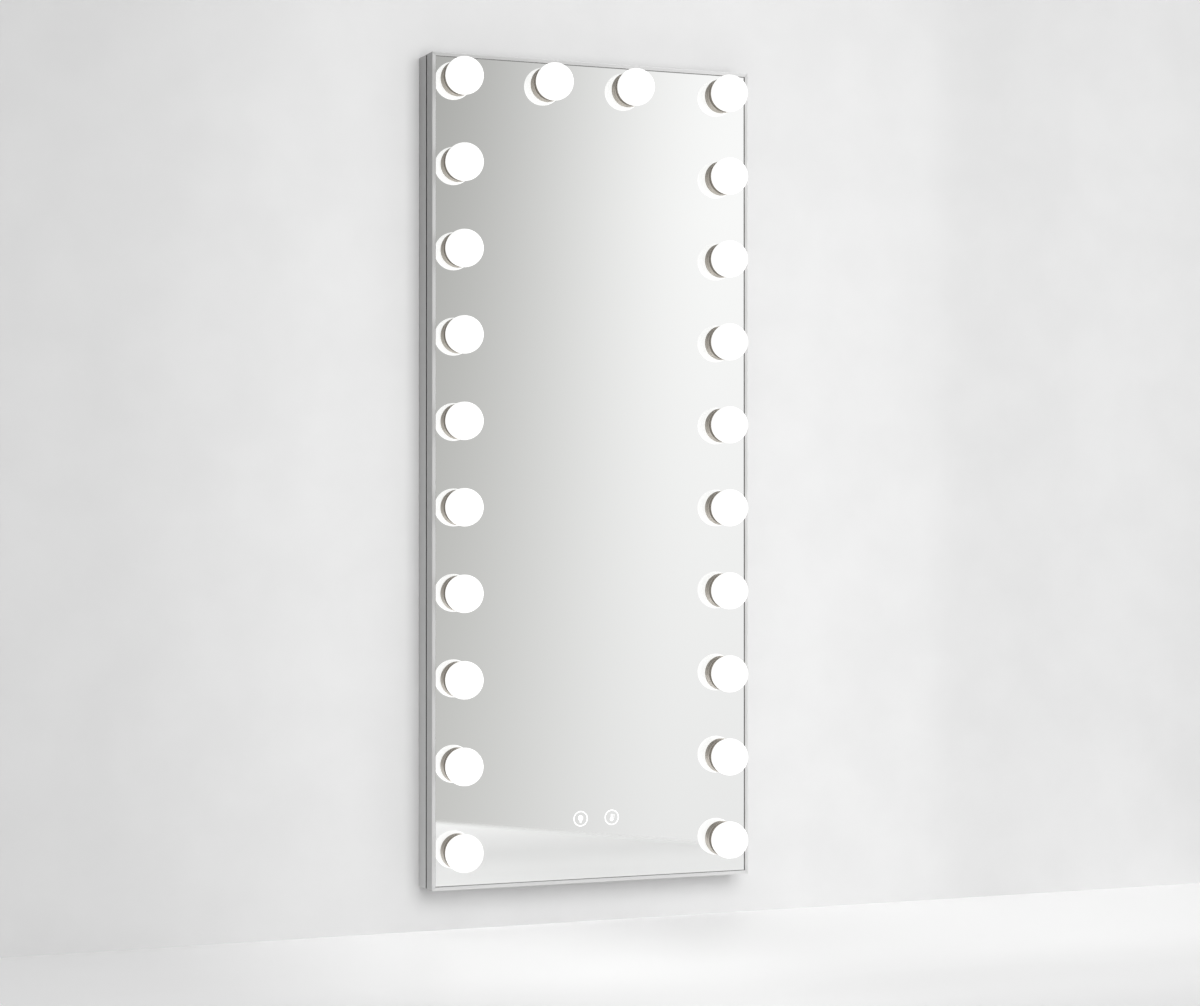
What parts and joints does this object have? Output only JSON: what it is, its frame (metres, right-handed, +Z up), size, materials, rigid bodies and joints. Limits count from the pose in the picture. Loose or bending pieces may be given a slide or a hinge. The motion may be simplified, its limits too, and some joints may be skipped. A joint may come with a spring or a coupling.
{
  "type": "lighted vanity mirror",
  "caption": "Tall wall-hung vanity mirror in a slim deep aluminium frame, with opal globe lamps up both sides and along the top, and two touch controls low on the glass.",
  "frame": {"origin": "middle of the back panel's rear face, in the plane of the wall", "axes": "+Z up, +Y into the wall, the mirror faces -Y, +X to the right as a person looks into it"},
  "size_m": [0.664, 0.148, 1.6],
  "materials": {
    "frame": "satin brushed and anodised",
    "mirror_plate": "polished silvered glass",
    "opal_globe": "satin opal, lit",
    "lamp_metal": "satin nickel plate",
    "corner_key": "as die cast",
    "back_panel": "light grey powder coat",
    "zinc_plate": "bright zinc plate",
    "housing_plastic": "fine moulded texture",
    "board_laminate": "solder resist",
    "wire_sleeve": "woven sleeve",
    "rubber": "matt"
  },
  "bodies": {
    "mirror": {"frame_left": "frame", "frame_right": "frame", "frame_top": "frame", "frame_bottom": "frame", "corner_key_top_left": "corner_key", "corner_key_top_right": "corner_key", "corner_key_bottom_left": "corner_key", "corner_key_bottom_right": "corner_key", "mirror_glass": "mirror_plate", "back_panel": "back_panel", "hanger_left": "zinc_plate", "hanger_right": "zinc_plate", "cable_grommet": "rubber", "led_driver": "housing_plastic", "touch_sensor_board": "board_laminate", "wiring_loom": "wire_sleeve", "lamp_base_left_01": "lamp_metal", "lamp_base_left_02": "lamp_metal", "lamp_base_left_03": "lamp_metal", "lamp_base_left_04": "lamp_metal", "lamp_base_left_05": "lamp_metal", "lamp_base_left_06": "lamp_metal", "lamp_base_left_07": "lamp_metal", "lamp_base_left_08": "lamp_metal", "lamp_base_left_09": "lamp_metal", "lamp_base_left_10": "lamp_metal", "lamp_base_right_01": "lamp_metal", "lamp_base_right_02": "lamp_metal", "lamp_base_right_03": "lamp_metal", "lamp_base_right_04": "lamp_metal", "lamp_base_right_05": "lamp_metal", "lamp_base_right_06": "lamp_metal", "lamp_base_right_07": "lamp_metal", "lamp_base_right_08": "lamp_metal", "lamp_base_right_09": "lamp_metal", "lamp_base_right_10": "lamp_metal", "lamp_base_top_01": "lamp_metal", "lamp_base_top_02": "lamp_metal"},
    "globe_left_01": {"globe_left_01": "opal_globe"},
    "globe_left_02": {"globe_left_02": "opal_globe"},
    "globe_left_03": {"globe_left_03": "opal_globe"},
    "globe_left_04": {"globe_left_04": "opal_globe"},
    "globe_left_05": {"globe_left_05": "opal_globe"},
    "globe_left_06": {"globe_left_06": "opal_globe"},
    "globe_left_07": {"globe_left_07": "opal_globe"},
    "globe_left_08": {"globe_left_08": "opal_globe"},
    "globe_left_09": {"globe_left_09": "opal_globe"},
    "globe_left_10": {"globe_left_10": "opal_globe"},
    "globe_right_01": {"globe_right_01": "opal_globe"},
    "globe_right_02": {"globe_right_02": "opal_globe"},
    "globe_right_03": {"globe_right_03": "opal_globe"},
    "globe_right_04": {"globe_right_04": "opal_globe"},
    "globe_right_05": {"globe_right_05": "opal_globe"},
    "globe_right_06": {"globe_right_06": "opal_globe"},
    "globe_right_07": {"globe_right_07": "opal_globe"},
    "globe_right_08": {"globe_right_08": "opal_globe"},
    "globe_right_09": {"globe_right_09": "opal_globe"},
    "globe_right_10": {"globe_right_10": "opal_globe"},
    "globe_top_01": {"globe_top_01": "opal_globe"},
    "globe_top_02": {"globe_top_02": "opal_globe"}
  },
  "joints": [
    {"name": "globe_left_01_twist", "type": "hinge", "parent": "mirror", "child": "globe_left_01", "pos_m": [-0.2775, -0.1115, 0.753], "axis": [0, -1, 0], "range_deg": [0, 35]},
    {"name": "globe_left_02_twist", "type": "hinge", "parent": "mirror", "child": "globe_left_02", "pos_m": [-0.2775, -0.1115, 0.58856], "axis": [0, -1, 0], "range_deg": [0, 35]},
    {"name": "globe_left_03_twist", "type": "hinge", "parent": "mirror", "child": "globe_left_03", "pos_m": [-0.2775, -0.1115, 0.42411], "axis": [0, -1, 0], "range_deg": [0, 35]},
    {"name": "globe_left_04_twist", "type": "hinge", "parent": "mirror", "child": "globe_left_04", "pos_m": [-0.2775, -0.1115, 0.25967], "axis": [0, -1, 0], "range_deg": [0, 35]},
    {"name": "globe_left_05_twist", "type": "hinge", "parent": "mirror", "child": "globe_left_05", "pos_m": [-0.2775, -0.1115, 0.09522], "axis": [0, -1, 0], "range_deg": [0, 35]},
    {"name": "globe_left_06_twist", "type": "hinge", "parent": "mirror", "child": "globe_left_06", "pos_m": [-0.2775, -0.1115, -0.06922], "axis": [0, -1, 0], "range_deg": [0, 35]},
    {"name": "globe_left_07_twist", "type": "hinge", "parent": "mirror", "child": "globe_left_07", "pos_m": [-0.2775, -0.1115, -0.23367], "axis": [0, -1, 0], "range_deg": [0, 35]},
    {"name": "globe_left_08_twist", "type": "hinge", "parent": "mirror", "child": "globe_left_08", "pos_m": [-0.2775, -0.1115, -0.39811], "axis": [0, -1, 0], "range_deg": [0, 35]},
    {"name": "globe_left_09_twist", "type": "hinge", "parent": "mirror", "child": "globe_left_09", "pos_m": [-0.2775, -0.1115, -0.56256], "axis": [0, -1, 0], "range_deg": [0, 35]},
    {"name": "globe_left_10_twist", "type": "hinge", "parent": "mirror", "child": "globe_left_10", "pos_m": [-0.2775, -0.1115, -0.727], "axis": [0, -1, 0], "range_deg": [0, 35]},
    {"name": "globe_right_01_twist", "type": "hinge", "parent": "mirror", "child": "globe_right_01", "pos_m": [0.2775, -0.1115, 0.753], "axis": [0, -1, 0], "range_deg": [0, 35]},
    {"name": "globe_right_02_twist", "type": "hinge", "parent": "mirror", "child": "globe_right_02", "pos_m": [0.2775, -0.1115, 0.58856], "axis": [0, -1, 0], "range_deg": [0, 35]},
    {"name": "globe_right_03_twist", "type": "hinge", "parent": "mirror", "child": "globe_right_03", "pos_m": [0.2775, -0.1115, 0.42411], "axis": [0, -1, 0], "range_deg": [0, 35]},
    {"name": "globe_right_04_twist", "type": "hinge", "parent": "mirror", "child": "globe_right_04", "pos_m": [0.2775, -0.1115, 0.25967], "axis": [0, -1, 0], "range_deg": [0, 35]},
    {"name": "globe_right_05_twist", "type": "hinge", "parent": "mirror", "child": "globe_right_05", "pos_m": [0.2775, -0.1115, 0.09522], "axis": [0, -1, 0], "range_deg": [0, 35]},
    {"name": "globe_right_06_twist", "type": "hinge", "parent": "mirror", "child": "globe_right_06", "pos_m": [0.2775, -0.1115, -0.06922], "axis": [0, -1, 0], "range_deg": [0, 35]},
    {"name": "globe_right_07_twist", "type": "hinge", "parent": "mirror", "child": "globe_right_07", "pos_m": [0.2775, -0.1115, -0.23367], "axis": [0, -1, 0], "range_deg": [0, 35]},
    {"name": "globe_right_08_twist", "type": "hinge", "parent": "mirror", "child": "globe_right_08", "pos_m": [0.2775, -0.1115, -0.39811], "axis": [0, -1, 0], "range_deg": [0, 35]},
    {"name": "globe_right_09_twist", "type": "hinge", "parent": "mirror", "child": "globe_right_09", "pos_m": [0.2775, -0.1115, -0.56256], "axis": [0, -1, 0], "range_deg": [0, 35]},
    {"name": "globe_right_10_twist", "type": "hinge", "parent": "mirror", "child": "globe_right_10", "pos_m": [0.2775, -0.1115, -0.727], "axis": [0, -1, 0], "range_deg": [0, 35]},
    {"name": "globe_top_01_twist", "type": "hinge", "parent": "mirror", "child": "globe_top_01", "pos_m": [-0.0935, -0.1115, 0.753], "axis": [0, -1, 0], "range_deg": [0, 35]},
    {"name": "globe_top_02_twist", "type": "hinge", "parent": "mirror", "child": "globe_top_02", "pos_m": [0.0765, -0.1115, 0.753], "axis": [0, -1, 0], "range_deg": [0, 35]}
  ]
}
